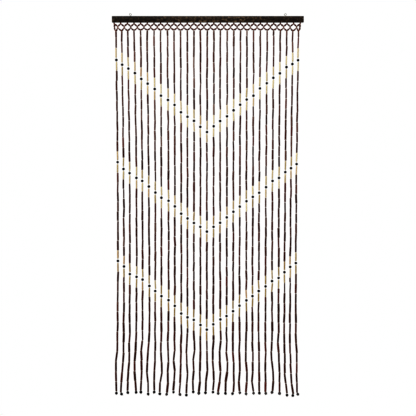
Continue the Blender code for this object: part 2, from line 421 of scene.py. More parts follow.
def sweep(bm: bmesh.types.BMesh, path: Sequence[Vector], radii: Sequence[float], sides: int,
          closed: bool = False) -> None:
    """Lay a round tube along a path.

    Args:
        bm: The bmesh that it is added to.
        path: The points of its middle line.
        radii: Its radius at each point.
        sides: How many sides it has.
        closed: Whether it runs back into its start.
    """
    count = len(path)
    last = count - 1
    forward = []
    for step in range(count):
        before = path[step - 1] if step or closed else path[0]
        after = path[(step + 1) % count] if step < last or closed else path[last]
        forward.append((after - before).normalized())
    across = [forward[0].orthogonal().normalized()]
    for step in range(1, count):
        across.append(forward[step - 1].rotation_difference(forward[step]) @ across[-1])
    twist = 0.0
    if closed:
        back = forward[last].rotation_difference(forward[0]) @ across[last]
        turn = math.copysign(1.0, forward[0].dot(back.cross(across[0])))
        twist = turn * back.angle(across[0])
    rings = []
    for step in range(count):
        first = Matrix.Rotation(twist * step / count, 3, forward[step]) @ across[step]
        second = forward[step].cross(first)
        angles = [math.tau * side / sides for side in range(sides)]
        rings.append([bm.verts.new(
            path[step] + (first * math.cos(angle) + second * math.sin(angle)) * radii[step])
            for angle in angles])
    for step in range(last):
        bridge(bm, rings[step], rings[step + 1])
    if closed:
        bridge(bm, rings[last], rings[0])
    else:
        bm.faces.new(rings[0])
        bm.faces.new(rings[last])


def hand_in(obj: Object, slot: str, *nodes: str) -> None:
    """Ride a finished piece on the curtain's body in place of some CAD nodes.

    Args:
        obj: The piece.
        slot: The record's material slot that it is finished in. Not used.
        nodes: The CAD nodes that it stands for.
    """
    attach(obj, BODY)
    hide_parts(*nodes)
    obj.data.calc_loop_triangles()
    log.info("%s: %d triangles", obj.name, len(obj.data.loop_triangles))


# Finishes

class Wash(NamedTuple):
    """A colour laid over another as a pattern passes from start to full, and its share there."""

    start: float
    full: float
    share: float
    colour: Colour

    def over(self, paint: Paint, colour: Any, pattern: Value) -> Socket:
        """Lay the wash over a colour."""
        return paint.blend(pattern.between(self.start, self.full) * self.share, colour, self.colour)


@dataclass(frozen=True, kw_only=True)
class Finish:
    """What all finishes share. Their patterns lie near 0.5."""

    name: str
    slot: str
    roughness: float
    uneven: float
    relief: float

    def dressed(self, paint: Paint, colour: Socket, dulling: Value, height: Value) -> Material:
        """Finish a material.

        Args:
            paint: The material's paint.
            colour: Its colour.
            dulling: The pattern that makes it rougher.
            height: The pattern that raises it.

        Returns:
            The finished material.
        """
        paint.feed(paint.shader, {
            "Base Color": colour, "Roughness": self.roughness + (dulling - 0.5) * self.uneven,
            "Normal": paint.relief(height, self.relief)})
        return paint.material


@dataclass(frozen=True, kw_only=True)
class StrungWood(Finish):
    """Wood of the tubes and small beads. Each piece has its own tone and warmth; on the long tubes
    the tone also holds painted light, lighter high up and painted shade low down.
    """

    dark: Colour
    middle: Colour
    light: Colour
    warm: Colour
    rim: Colour
    roughness: float = 0.5
    uneven: float = 0.4
    gloss: float = 0.08
    streaks: float = 0.9
    patches: float = 0.7
    rim_share: float = 0.55
    rim_wear: Range = (0.75, 1.2)
    fibre: Triple = (0.0009, 0.0009, 0.016)
    patch: Triple = (0.006, 0.006, 0.014)
    relief: float = 0.00012

    def material(self) -> Material:
        """Paint the grain, the uneven stain and the bare cut rims.

        Returns:
            The finished material.
        """
        paint = Paint(self.name, {"Specular IOR Level": self.gloss})
        tone = paint.attribute("tone")
        fibre = paint.grain(self.fibre, 3.0, tone)
        patch = paint.grain(self.patch, 1.0, tone)
        level = tone + (fibre - 0.5) * self.streaks + (patch - 0.5) * self.patches
        colour = paint.ramp(level, [(0.0, self.dark), (0.5, self.middle), (1.0, self.light)])
        colour = paint.blend(paint.attribute("warmth"), colour, self.warm)
        worn = paint.attribute("rim") * (fibre + patch).between(*self.rim_wear) * self.rim_share
        return self.dressed(paint, paint.blend(worn, colour, self.rim), fibre, fibre)


@dataclass(frozen=True, kw_only=True)
class RailStain(Finish):
    """Black-brown stain on the rail, thin in streaks and spots. Olive patches are a painted sheen,
    and painted shade darkens it towards its ends, leaving it lighter near its middle.
    """

    name: str = "stained_rail"
    slot: str = "stained_wood"
    deep: Colour = display(20, 11, 5)
    streak: Wash = Wash(0.38, 0.68, 1.0, display(77, 62, 45))
    spot: Wash = Wash(0.50, 0.70, 0.95, display(118, 98, 74))
    shade: Wash = Wash(0.48, 0.30, 0.8, display(20, 11, 5))
    # Painted sheen: lighter olive patches on the satin stain.
    olive_sheen: Wash = Wash(0.52, 0.72, 0.6, display(46, 50, 36))
    # Painted shade: the rail darkens towards its ends, away from its lighter middle.
    ends: Wash = Wash(0.10, 0.30, 0.65, display(20, 11, 5))
    edge: Wash = Wash(0.9, 1.25, 0.6, display(114, 92, 73))
    lit_middle_at: float = 0.03
    roughness: float = 0.52
    uneven: float = 0.5
    gloss: float = 0.16
    fibre: Triple = (0.022, 0.0022, 0.0016)
    patch: Triple = (0.034, 0.020, 0.012)
    mottle: Triple = (0.011, 0.010, 0.010)
    relief: float = 0.00018

    def material(self) -> Material:
        """Paint streaks along the rail, its spots, the olive painted sheen, painted shade on its
        ends and its rubbed edges.

        Returns:
            The finished material.
        """
        paint = Paint(self.name, {"Specular IOR Level": self.gloss})
        fibre, patch = paint.grain(self.fibre, 4.0), paint.grain(self.patch, 2.0)
        mottle = paint.grain(self.mottle, 2.0)
        place = paint.node("ShaderNodeSeparateXYZ", sockets={"Vector": paint.place})
        # Painted shade: darker with distance from the rail's lighter middle.
        off_lit_middle = Value(paint, place.outputs[0]) - self.lit_middle_at
        off_lit_middle = off_lit_middle.math("ABSOLUTE", off_lit_middle)
        colour: Any = self.deep
        for wash, pattern in ((self.streak, fibre), (self.spot, mottle), (self.shade, mottle),
                              (self.olive_sheen, patch), (self.ends, off_lit_middle)):
            colour = wash.over(paint, colour, pattern)
        rubbed = (fibre + patch).between(self.edge.start, self.edge.full) * self.edge.share
        colour = paint.blend(paint.attribute("edge") * rubbed, colour, self.edge.colour)
        return self.dressed(paint, colour, patch, fibre)


@dataclass(frozen=True, kw_only=True)
class Lacquer(Finish):
    """Black lacquer on the round beads, a few of them rubbed to dark grey."""

    name: str = "black_lacquer"
    slot: str = "black_beads"
    black: Colour = display(3, 3, 3)
    rubbed: Colour = display(90, 84, 82)
    rub: float = 0.7
    cloudy_rub: float = 0.4
    bore_rub: float = 0.1
    roughness: float = 0.4
    uneven: float = 0.5
    gloss: float = 0.09
    coat: float = 0.04
    coat_roughness: float = 0.2
    cloud: Triple = (0.003, 0.003, 0.003)
    relief: float = 0.00004

    def material(self) -> Material:
        """Paint the lacquer with faint clouds and rubbed places.

        Returns:
            The finished material.
        """
        paint = Paint(self.name, {"Specular IOR Level": self.gloss, "Coat Weight": self.coat,
                                  "Coat Roughness": self.coat_roughness})
        tone = paint.attribute("tone")
        cloud = paint.grain(self.cloud, 3.0, tone)
        share = tone * (self.rub + cloud * self.cloudy_rub) + paint.attribute("rim") * self.bore_rub
        return self.dressed(paint, paint.blend(share, self.black, self.rubbed), cloud, cloud)


@dataclass(frozen=True, kw_only=True)
class Zinc(Finish):
    """Dull zinc on the screw eyes."""

    name: str = "dull_zinc"
    slot: str = "eye_steel"
    bright: Colour = display(165, 166, 155)
    dull: Wash = Wash(0.35, 0.65, 1.0, display(118, 118, 106))
    metal: float = 0.85
    roughness: float = 0.42
    uneven: float = 0.6
    cloud: Triple = (0.0012, 0.0012, 0.0012)
    relief: float = 0.00003

    def material(self) -> Material:
        """Paint the zinc's grey clouds.

        Returns:
            The finished material.
        """
        paint = Paint(self.name, {"Metallic": self.metal})
        cloud = paint.grain(self.cloud, 4.0)
        return self.dressed(paint, self.dull.over(paint, self.bright, cloud), cloud, cloud)


@dataclass(frozen=True, kw_only=True)
class Cord(Finish):
    """Undyed twisted cord, painted darker in the grooves between its plies as painted shade."""

    name: str = "undyed_cord"
    slot: str = "string"
    thread: Colour = display(208, 190, 150)
    shaded_groove: Colour = display(168, 142, 100)
    ply: float = 0.0016
    slant: float = 35.0
    wander: float = 0.6
    ply_share: float = 0.7
    fuzz_share: float = 0.4
    fuzz: Triple = (0.0004, 0.0004, 0.0012)
    gloss: float = 0.2
    sheen: float = 0.2
    roughness: float = 0.85
    uneven: float = 0.2
    relief: float = 0.0002

    def material(self) -> Material:
        """Paint the slanting grooves between the cord's plies darker, as painted shade.

        Returns:
            The finished material.
        """
        paint = Paint(self.name, {"Specular IOR Level": self.gloss, "Sheen Weight": self.sheen})
        bands = paint.node("ShaderNodeMapping", sockets={
            "Vector": paint.place, "Rotation": (0.0, math.radians(self.slant), 0.0)})
        wave = paint.node("ShaderNodeTexWave", {"bands_direction": "Z"}, {
            "Vector": bands.outputs[0], "Scale": math.tau / (20.0 * self.ply),
            "Distortion": self.wander, "Detail": 1.0})
        plies, fuzz = Value(paint, wave.outputs[1]), paint.grain(self.fuzz, 2.0)
        # Painted shade: the grooves between the plies are darker.
        colour = paint.blend(
            plies * self.ply_share + fuzz * self.fuzz_share, self.shaded_groove, self.thread)
        return self.dressed(paint, colour, fuzz, plies)


DARK_WOOD = StrungWood(
    name="dark_tube_wood", slot="dark_tubes",
    dark=display(52, 16, 5), middle=display(86, 52, 41), light=display(130, 104, 93),
    warm=display(112, 40, 30), rim=display(140, 112, 90))
PALE_WOOD = StrungWood(
    name="pale_tube_wood", slot="pale_tubes",
    dark=display(143, 118, 63), middle=display(176, 158, 117), light=display(206, 193, 156),
    warm=display(178, 144, 106), rim=display(210, 196, 158), relief=0.0001)
NET_TUBE_WOOD = StrungWood(
    name="net_tube_wood", slot="dark_tubes",
    dark=display(46, 8, 2), middle=display(74, 30, 16), light=display(110, 70, 50),
    warm=display(120, 44, 22), rim=display(130, 84, 56))
NET_WOOD = StrungWood(
    name="net_bead_wood", slot="dark_tubes",
    dark=display(60, 6, 2), middle=display(90, 32, 10), light=display(118, 70, 40),
    warm=display(136, 66, 28), rim=display(126, 78, 50), fibre=(0.0008, 0.0008, 0.004))
KNOT_CORD = Cord(name="knot_cord", thread=display(150, 118, 88), shaded_groove=display(110, 82, 60))


# Strung shapes, of unit radius and unit half length

class Ring(NamedTuple):
    """One ring of a turned shape, and how much of the cut rim it shows."""

    radius: float
    height: float
    rim: float = 0.0
    x: float = 0.0
    y: float = 0.0


def turned(name: str, rings: Sequence[Ring], sides: int) -> Mesh:
    """Turn a closed outline round the cord, bore and all.

    Args:
        name: The mesh's name.
        rings: The outline, from the bore's foot round to the bore's top.
        sides: How many sides it has.

    Returns:
        A closed mesh that carries its rim.
    """
    bm = bmesh.new()
    rim = bm.verts.layers.float.new("rim")
    loops = []
    for ring in rings:
        loop = []
        for side in range(sides):
            angle = math.tau * side / sides
            loop.append(bm.verts.new((
                ring.x + ring.radius * math.cos(angle), ring.y + ring.radius * math.sin(angle),
                ring.height)))
            loop[-1][rim] = ring.rim
        loops.append(loop)
    for step, loop in enumerate(loops):
        bridge(bm, loop, loops[(step + 1) % len(loops)])
    return closed_mesh(bm, name)


@dataclass(frozen=True)
class TubeShape:
    """A length cut from a natural stem: a little swollen, tapered, bowed and skew."""

    name: str
    variants: int = 8
    sides: int = 9
    bore: float = 0.44
    lip: float = 0.80
    chamfer: float = 0.08
    body: tuple[float, ...] = (-0.45, 0.4)
    swell: float = 0.03
    swell_range: Range = (-0.3, 1.0)
    taper: float = 0.05
    bow: float = 0.10
    skew: float = 0.05

    def meshes(self) -> Iterator[Mesh]:
        """Yield one mesh for each variant."""
        draw = random.Random(SEED)
        for variant in range(self.variants):
            swell = draw.uniform(*self.swell_range) * self.swell
            taper = draw.uniform(-1.0, 1.0) * self.taper
            bow = draw.uniform(-1.0, 1.0) * self.bow
            skew = draw.uniform(-1.0, 1.0) * self.skew
            outer = [(1.0, -1.0 + self.chamfer, 0.5)]
            outer += [(1.0, height, 0.0) for height in self.body]
            outer += [(1.0, 1.0 - self.chamfer, 0.5)]
            outline = [(self.bore, -1.0, 1.0), (self.lip, -1.0, 1.0), *outer,
                       (self.lip, 1.0, 1.0), (self.bore, 1.0, 1.0)]
            rings = []
            for radius, height, rim in outline:
                bulge = 1.0 + swell * (1.0 - height * height) + taper * height
                middle = bow * (1.0 - height * height)
                rings.append(Ring(radius * bulge, height, rim, middle, skew * height))
            yield turned(f"{self.name}_{variant:02d}", rings, self.sides)


@dataclass(frozen=True)
class RoundShape:
    """A turned round bead with a drilled bore. Fullness under 1 squares it."""

    name: str
    variants: int = 3
    sides: int = 16
    bands: int = 9
    bore: float = 0.2
    flattened: float = 0.04
    length_range: Range = (-1.0, 0.5)
    fullness: float = 1.0

    def meshes(self) -> Iterator[Mesh]:
        """Yield one mesh for each variant, each a little flatter or longer."""
        draw = random.Random(SEED)
        start = math.asin(self.bore ** (1.0 / self.fullness))
        for variant in range(self.variants):
            length = 1.0 + draw.uniform(*self.length_range) * self.flattened
            rings = []
            for band in range(self.bands + 1):
                angle = start + (math.pi - 2.0 * start) * band / self.bands
                rim = 1.0 if band in (0, self.bands) else 0.0
                radius = math.sin(angle) ** self.fullness
                rings.append(Ring(radius, -math.cos(angle) * length, rim))
            yield turned(f"{self.name}_{variant:02d}", rings, self.sides)


@dataclass(frozen=True)
class KnotShape:
    """An overhand knot with its two cut tails."""

    name: str
    steps: int = 30
    sides: int = 6
    cord: float = 0.34
    fray: float = 1.15
    loop_width: float = 4.2
    loop_height: float = 2.2
    tail_start: float = 0.2
    tail_length: float = 1.3
    tail_spread: float = 0.6
    tail_parts: tuple[float, ...] = (0.0, 0.35, 0.7, 1.0)

    def meshes(self) -> Iterator[Mesh]:
        """Yield the one mesh."""
        bm = bmesh.new()
        bm.verts.layers.float.new("rim")
        path = []
        for step in range(self.steps):
            turn = math.tau * step / self.steps
            path.append(Vector((
                (math.sin(turn) + 2.0 * math.sin(2.0 * turn)) / self.loop_width,
                (math.cos(turn) - 2.0 * math.cos(2.0 * turn)) / self.loop_width,
                -math.sin(3.0 * turn) / self.loop_height)))
        sweep(bm, path, [self.cord] * self.steps, self.sides, closed=True)
        for side in (-1.0, 1.0):
            tail = [Vector((side * self.tail_spread * part * part, self.tail_start * side * part,
                            -self.tail_start - self.tail_length * part))
                    for part in self.tail_parts]
            thick = [self.cord] * (len(tail) - 1) + [self.cord * self.fray]
            sweep(bm, tail, thick, self.sides)
        yield closed_mesh(bm, self.name)


class Strung(NamedTuple):
    """One tube, bead or knot on its cord."""

    centre: Vector
    axis: Vector
    radius: float
    half: float
    tone: float = 0.5
    warmth: float = 0.0

    @classmethod
    def held(cls, top: Vector, foot: Vector, radius: float, tone: float = 0.5,
             warmth: float = 0.0) -> "Strung":
        """Make what reaches from one point of a cord to another.

        Args:
            top: The point above.
            foot: The point below.
            radius: Its radius.
            tone: Its tone.
            warmth: Its warmth.

        Returns:
            The tube or bead.
        """
        way = top - foot
        return cls((top + foot) / 2.0, way.normalized(), radius, way.length / 2.0, tone, warmth)


def threading_tree() -> Tree:
    """Build the tree that threads shapes onto their places.

    Returns:
        A tree that turns each point into the shape it asks for, along its cord, with a turn of
        its own round the cord.
    """
    tree = Tree("threading", {
        "Shapes": "NodeSocketCollection", "Turn Seed": "NodeSocketInt",
        "Thickness": "NodeSocketFloat", "Length": "NodeSocketFloat",
        "Material": "NodeSocketMaterial"})
    shapes = tree.node("GeometryNodeCollectionInfo", sockets={
        "Collection": tree.entry["Shapes"], "Separate Children": True, "Reset Children": True})
    along = tree.node("FunctionNodeAlignRotationToVector", {"axis": "Z"}, {
        "Vector": tree.carried("axis", "FLOAT_VECTOR")})
    angle = tree.node("FunctionNodeRandomValue", {"data_type": "FLOAT"}, {
        "Min": 0.0, "Max": math.tau, "Seed": tree.entry["Turn Seed"]})
    turn = tree.node("FunctionNodeAxisAngleToRotation", sockets={
        "Axis": (0.0, 0.0, 1.0), "Angle": tree.result(angle, "Value")})
    spun = tree.node("FunctionNodeRotateRotation", {"rotation_space": "LOCAL"}, {
        "Rotation": along.outputs[0], "Rotate By": turn.outputs[0]})
    radius = Value(tree, tree.carried("radius", "FLOAT")) * Value(tree, tree.entry["Thickness"])
    half = Value(tree, tree.carried("half", "FLOAT")) * Value(tree, tree.entry["Length"])
    size = tree.node("ShaderNodeCombineXYZ", sockets={"X": radius, "Y": radius, "Z": half})
    strung = tree.node("GeometryNodeInstanceOnPoints", sockets={
        "Points": tree.entry["Geometry"], "Instance": shapes.outputs[0], "Pick Instance": True,
        "Instance Index": tree.carried("shape", "INT"), "Rotation": spun.outputs[0],
        "Scale": size.outputs[0]})
    tree.close(strung.outputs[0])
    return tree


@dataclass
class Threaded:
    """All the tubes or beads of one kind, threaded into one piece."""

    name: str
    shape: TubeShape | RoundShape | KnotShape
    finish: StrungWood | Lacquer | Cord
    thickness: float = 1.0
    length: float = 1.0
    sharp_from: float = 50.0
    picks: int = 64
    strung: list[Strung] = field(default_factory=list)

    def points(self) -> Mesh:
        """Lay down one point for each.

        Returns:
            The points, which carry what the tree and the finish read.
        """
        mesh = bpy.data.meshes.new(self.name + "_places")
        mesh.from_pydata([one.centre for one in self.strung], [], [])
        draw = random.Random(self.name)
        for label in ("radius", "half", "tone", "warmth"):
            numbers = [getattr(one, label) for one in self.strung]
            mesh.attributes.new(label, "FLOAT", "POINT").data.foreach_set("value", numbers)
        picks = [draw.randrange(self.picks) for _ in self.strung]
        mesh.attributes.new("shape", "INT", "POINT").data.foreach_set("value", picks)
        axes = [part for one in self.strung for part in one.axis]
        mesh.attributes.new("axis", "FLOAT_VECTOR", "POINT").data.foreach_set("vector", axes)
        return mesh

    def build(self, tree: Tree) -> None:
        """Thread the shapes and hand the piece in.

        Args:
            tree: The threading tree.
        """
        shelf = bpy.data.collections.new(self.name + "_shapes")
        samples = [bpy.data.objects.new(mesh.name, mesh) for mesh in self.shape.meshes()]
        for sample in samples:
            shelf.objects.link(sample)
        obj = tree.run(self.name, self.points(), {
            "Shapes": shelf, "Turn Seed": SEED, "Thickness": self.thickness,
            "Length": self.length, "Material": self.finish.material()},
            kept=("tone", "warmth", "rim"))
        for sample in samples:
            bpy.data.objects.remove(sample)
        bpy.data.collections.remove(shelf)
        soften(obj, self.sharp_from)
        hand_in(obj, self.finish.slot, NET_NODE)


# Rail and eyes

RAIL_FOOT_RISE = Vector((0.0, 0.0, 0.0006))


@dataclass
class Rail:
    """The stained batten, with a hole for each cord and for each eye."""

    low: Vector = field(default_factory=lambda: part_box("rail")[0] + RAIL_FOOT_RISE)
    high: Vector = field(default_factory=lambda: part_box("rail")[1])
    strands: int = 29
    first_hole: float = 0.0095
    hole_pitch: float = 0.03125
    hole_radius: float = 0.0013
    hole_depth: float = 0.0080
    eye_hole_radius: float = 0.0015
    eye_hole_depth: float = 0.0123
    hole_sides: int = 12
    edge: float = 0.0014
    corner_steps: int = 3
    stations: int = 60
    waver: float = 0.00035
    waver_length: float = 0.11
    sharp_from: float = 40.0
    finish: RailStain = RailStain()

    @property
    def top(self) -> float:
        """Return the height of the rail's top."""
        return self.high.z

    @property
    def foot(self) -> float:
        """Return the height of the rail's underside."""
        return self.low.z

    def hole_x(self, index: int) -> float:
        """Return where the hole of a strand lies along the rail, the first being 0."""
        return self.low.x + self.first_hole + self.hole_pitch * index

    def section(self, x: float, inset: float) -> list[Vector]:
        """Return the rail's rounded outline at a place along it.

        Args:
            x: The place.
            inset: How far the outline is drawn in, at the rounded ends.

        Returns:
            The outline's points, in turning order.
        """
        centre = (self.low + self.high) / 2.0
        half = (self.high - self.low) / 2.0
        round_to = max(self.edge - inset, 0.0)
        points = []
        for corner, (side, rise) in enumerate(((1.0, 1.0), (-1.0, 1.0), (-1.0, -1.0), (1.0, -1.0))):
            for step in range(self.corner_steps + 1):
                angle = math.pi / 2.0 * (corner + step / self.corner_steps)
                y = side * (half.y - self.edge) + round_to * math.cos(angle)
                z = rise * (half.z - self.edge) + round_to * math.sin(angle)
                points.append(Vector((x, centre.y + y, centre.z + z)))
        return points

    def batten(self) -> Object:
        """Loft the batten with rounded edges and ends, a hair uneven along its length.

        Returns:
            The batten, not yet drilled.
        """
        bm = bmesh.new()
        turns = [math.pi / 2.0 * step / self.corner_steps for step in range(self.corner_steps + 1)]
        start = [(self.edge * (1.0 - math.cos(turn)), self.edge * (1.0 - math.sin(turn)))
                 for turn in turns]
        length = self.high.x - self.low.x
        inner = [(self.edge + (length - 2.0 * self.edge) * step / self.stations, 0.0)
                 for step in range(1, self.stations)]
        end = [(length - along, inset) for along, inset in reversed(start)]
        rings = []
        for along, inset in start + inner + end:
            ring = []
            for point in self.section(self.low.x + along, inset):
                drift = noise.noise_vector(point / self.waver_length) * self.waver
                ring.append(bm.verts.new(point + Vector((0.0, drift.y, drift.z))))
            rings.append(ring)
        for ring, after in zip(rings, rings[1:]):
            bridge(bm, ring, after)
        bm.faces.new(rings[0])
        bm.faces.new(rings[-1])
        return linked("stained_rail", closed_mesh(bm, "stained_rail"))

    def drills(self, eyes: Sequence["ScrewEye"]) -> Object:
        """Make the round cutters of all the holes.

        Args:
            eyes: The screw eyes that it holds.

        Returns:
            One object with all the cutters.
        """
        bm = bmesh.new()
        holes = [(self.hole_x(index), self.foot, self.hole_radius, self.hole_depth)
                 for index in range(self.strands)]
        holes += [(eye.centre.x, self.top, self.eye_hole_radius, self.eye_hole_depth)
                  for eye in eyes]
        for x, z, radius, depth in holes:
            bmesh.ops.create_cone(
                bm, cap_ends=True, segments=self.hole_sides, radius1=radius, radius2=radius,
                depth=2.0 * depth, matrix=Matrix.Translation((x, 0.0, z)))
        return linked("rail_drills", closed_mesh(bm, "rail_drills"))

    def mark_edges(self, mesh: Mesh) -> None:
        """Let a mesh carry where its edges rub, from 0 on the flats to 1 on the rounds.

        Args:
            mesh: The drilled batten's mesh.
        """
        rubbed = []
        for vertex in mesh.vertices:
            low, high = vertex.co - self.low, self.high - vertex.co
            nearest = sorted(min(abs(a), abs(b)) for a, b in zip(low, high))
            rubbed.append(max(0.0, min(1.0, 2.0 * (1.0 - nearest[1] / self.edge))))
        mesh.attributes.new("edge", "FLOAT", "POINT").data.foreach_set("value", rubbed)

    def build(self, eyes: Sequence["ScrewEye"]) -> None:
        """Drill the batten, dress it and hand it in.

        Args:
            eyes: The screw eyes that it holds.
        """
        obj, drills = self.batten(), self.drills(eyes)
        cut = obj.modifiers.new("holes", "BOOLEAN")
        cut.operation = "DIFFERENCE"
        cut.object = drills
        plain(obj)
        bpy.data.objects.remove(drills)
        self.mark_edges(obj.data)
        obj.data.materials.clear()
        obj.data.materials.append(self.finish.material())
        soften(obj, self.sharp_from)
        hand_in(obj, self.finish.slot, "rail")


@dataclass
class ScrewEye:
    """One screw eye: wire bent round to an open ring, over a threaded shank."""

    name: str
    node: str
    rail_top: float
    ring_radius: float = 0.0046
    wire: float = 0.00104
    gap_angle: float = 22.0
    fillet_angle: float = 32.0
    ring_steps: int = 28
    bend_drop: float = 0.0070
    shank: float = 0.0010
    shank_depth: float = 0.0118
    shank_taper: float = 0.92
    tip: float = 0.0030
    tip_taper: float = 0.2
    thread_pitch: float = 0.0011
    thread_height: float = 0.0003
    thread_rise: float = 0.0010
    thread_steps: int = 12
    thread_sides: int = 4
    sides: int = 12
    sharp_from: float = 50.0
    finish: Zinc = Zinc()
    centre: Vector = field(init=False)

    def __post_init__(self) -> None:
        """Take the ring's centre from the frame."""
        low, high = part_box(self.node)
        self.centre = Vector(((low.x + high.x) / 2.0, (low.y + high.y) / 2.0, 0.0))

    def on_ring(self, degrees: float) -> Vector:
        """Return the point of the ring at an angle from its foot."""
        angle = math.radians(degrees)
        return Vector((math.sin(angle), 0.0, -math.cos(angle))) * self.ring_radius

    def wire_path(self) -> tuple[list[Vector], list[float]]:
        """Follow the wire from its cut end round the ring and down to the point.

        Returns:
            The points of its middle line, and its radius at each.
        """
        first, last = 360.0 - self.gap_angle, self.fillet_angle
        path = [self.on_ring(first + (last - first) * step / self.ring_steps)
                for step in range(self.ring_steps + 1)]
        radii = [self.wire] * len(path)
        start, stop = path[-1], Vector((0.0, 0.0, -self.bend_drop))
        slope = math.tan(math.radians(self.fillet_angle))
        corner = Vector((0.0, 0.0, start.z - start.x * slope))
        for part in (0.25, 0.5, 0.75, 1.0):
            path.append(start.lerp(corner, part).lerp(corner.lerp(stop, part), part))
            radii.append(self.wire)
        foot = self.rail_top - self.shank_depth
        for height, radius in ((self.rail_top + self.thread_rise, self.wire),
                               (self.rail_top + self.thread_rise / 2.0, self.shank),
                               (foot + self.tip, self.shank * self.shank_taper),
                               (foot, self.shank * self.tip_taper)):
            path.append(Vector((0.0, 0.0, height)))
            radii.append(radius)
        return path, radii

    def thread_path(self) -> list[Vector]:
        """Follow the screw thread down the shank.

        Returns:
            The points of its middle line.
        """
        top = self.rail_top + self.thread_rise / 2.0
        drop = top - (self.rail_top - self.shank_depth + self.tip)
        count = int(drop / self.thread_pitch * self.thread_steps)
        path = []
        for step in range(count + 1):
            angle = math.tau * step / self.thread_steps
            level = top - self.thread_pitch * step / self.thread_steps
            path.append(Vector((self.shank * math.cos(angle), self.shank * math.sin(angle), level)))
        return path

    def build(self) -> None:
        """Bend the wire, cut its thread, dress the eye and hand it in."""
        bm = bmesh.new()
        path, radii = self.wire_path()
        sweep(bm, [point + self.centre for point in path], radii, self.sides)
        thread = [point + self.centre for point in self.thread_path()]
        heights = [self.thread_height] * len(thread)
        heights[0] = heights[-1] = self.thread_height / 4.0
        sweep(bm, thread, heights, self.thread_sides)
        obj = linked(self.name, closed_mesh(bm, self.name))
        obj.data.materials.append(self.finish.material())
        soften(obj, self.sharp_from)
        hand_in(obj, self.finish.slot, self.node)


# Cords

@dataclass
class Cords:
    """Every cord, as runs of straight stretches."""

    name: str = "cords"
    radius: float = 0.00085
    sides: int = 6
    sharp_from: float = 60.0
    finish: Cord = Cord()
    runs: list[list[Vector]] = field(default_factory=list)

    @staticmethod
    def tree() -> Tree:
        """Build the tree that gives a run of edges its thickness.

        Returns:
            The closed tree.
        """
        tree = Tree("cord_laying", {
            "Cord Radius": "NodeSocketFloat", "Cord Sides": "NodeSocketInt",
            "Material": "NodeSocketMaterial"})
        line = tree.node("GeometryNodeMeshToCurve", sockets={"Mesh": tree.entry["Geometry"]})
        outline = tree.node("GeometryNodeCurvePrimitiveCircle", {"mode": "RADIUS"}, {
            "Resolution": tree.entry["Cord Sides"], "Radius": tree.entry["Cord Radius"]})
        cord = tree.node("GeometryNodeCurveToMesh", sockets={
            "Curve": line.outputs[0], "Profile Curve": outline.outputs[0], "Fill Caps": True})
        tree.close(cord.outputs[0])
        return tree

    def build(self) -> None:
        """Lay the cords and hand them in."""
        points: list[Vector] = []
        edges: list[tuple[int, int]] = []
        for run in self.runs:
            start = len(points)
            points += run
            edges += [(start + step, start + step + 1) for step in range(len(run) - 1)]
        mesh = bpy.data.meshes.new(self.name)
        mesh.from_pydata(points, edges, [])
        obj = self.tree().run(self.name, mesh, {
            "Cord Radius": self.radius, "Cord Sides": self.sides,
            "Material": self.finish.material()})
        soften(obj, self.sharp_from)
        hand_in(obj, self.finish.slot, NET_NODE)


# Row of diamonds

class Link(Enum):
    """What a stretch of the heading is strung with."""

    TUBE = "tube"
    BEAD = "bead"


class Spread(NamedTuple):
    """Ranges that the pieces of one kind are drawn from."""

    girth: Range
    tone: Range
    warmth: Range


